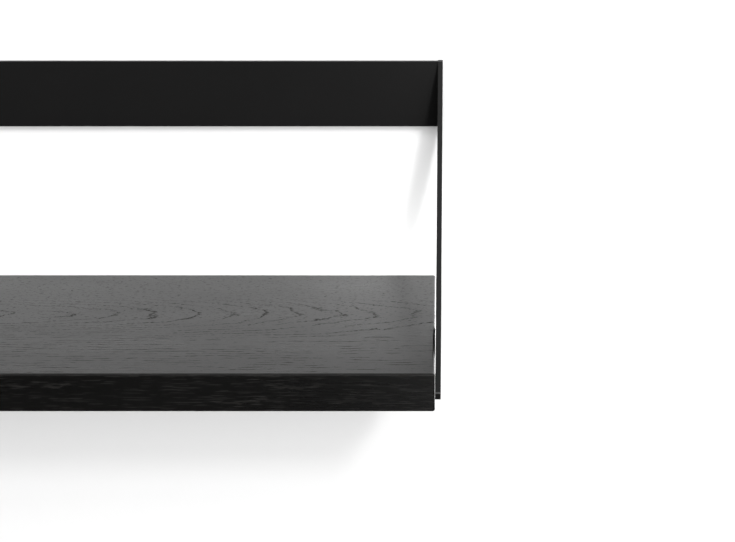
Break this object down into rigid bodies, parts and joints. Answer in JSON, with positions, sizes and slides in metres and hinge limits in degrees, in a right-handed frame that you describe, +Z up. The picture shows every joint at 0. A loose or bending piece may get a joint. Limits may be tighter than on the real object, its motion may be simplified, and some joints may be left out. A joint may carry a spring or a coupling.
{
  "type": "wall-mounted hutch shelf",
  "caption": "Thick oak board held in a sloped flat-steel frame that hangs on a hidden wall cleat, to store or display things above a desk.",
  "frame": {"origin": "on the wall, half way along the shelf, at the height of the wall screws, which is half the height of the rail", "axes": "+X along the shelf to its right end as seen from the room, +Y into the wall, -Y out to the room, +Z up"},
  "size_m": [0.8, 0.2, 0.223],
  "materials": {
    "stained_oak": "black stain under satin lacquer, open grain",
    "coated_steel": "black powder coat, fine texture",
    "zinc_screw": "black zinc",
    "insert_brass": "turned",
    "plated_steel": "bright zinc plate"
  },
  "bodies": {
    "root": {"shelf_board": "stained_oak", "back_rail": "coated_steel", "arm_right": "coated_steel", "arm_left": "coated_steel", "support_tab_right": "coated_steel", "support_tab_left": "coated_steel", "board_screws": "zinc_screw", "threaded_inserts": "insert_brass", "hook_strip": "coated_steel", "wall_cleat": "plated_steel"}
  },
  "joints": []
}
